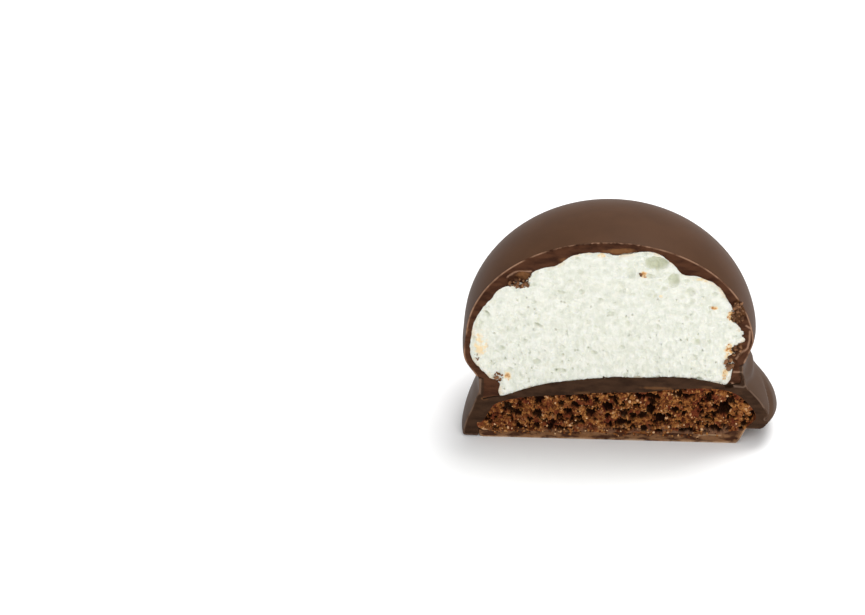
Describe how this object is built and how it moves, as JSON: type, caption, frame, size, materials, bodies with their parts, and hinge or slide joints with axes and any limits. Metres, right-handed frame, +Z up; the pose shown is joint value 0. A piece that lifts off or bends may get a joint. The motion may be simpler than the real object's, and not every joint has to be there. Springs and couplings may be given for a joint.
{
  "type": "chocolate covered marshmallow",
  "caption": "Half of a chocolate covered marshmallow cut upright: coated dome over whipped marshmallow, on a coated cocoa biscuit with a spread foot.",
  "frame": {"origin": "middle of the underside of the bounding box, on the surface that the piece stands on", "axes": "+Z up, the flat cut faces -Y, +X to the right as seen from in front of the cut"},
  "size_m": [0.0576, 0.0376, 0.0411],
  "materials": {
    "dome_chocolate": "satin set chocolate, smooth, with a thin light broken edge",
    "marshmallow": "matt whipped marshmallow foam with fine pores",
    "base_chocolate": "satin set dark chocolate, cut smooth",
    "cocoa_biscuit": "matt porous cocoa biscuit crumb",
    "bottom_chocolate": "satin lighter brown chocolate"
  },
  "bodies": {
    "root": {"dome_coating": "dome_chocolate", "marshmallow": "marshmallow", "base_coating": "base_chocolate", "biscuit": "cocoa_biscuit", "bottom_layer": "bottom_chocolate"}
  },
  "joints": []
}
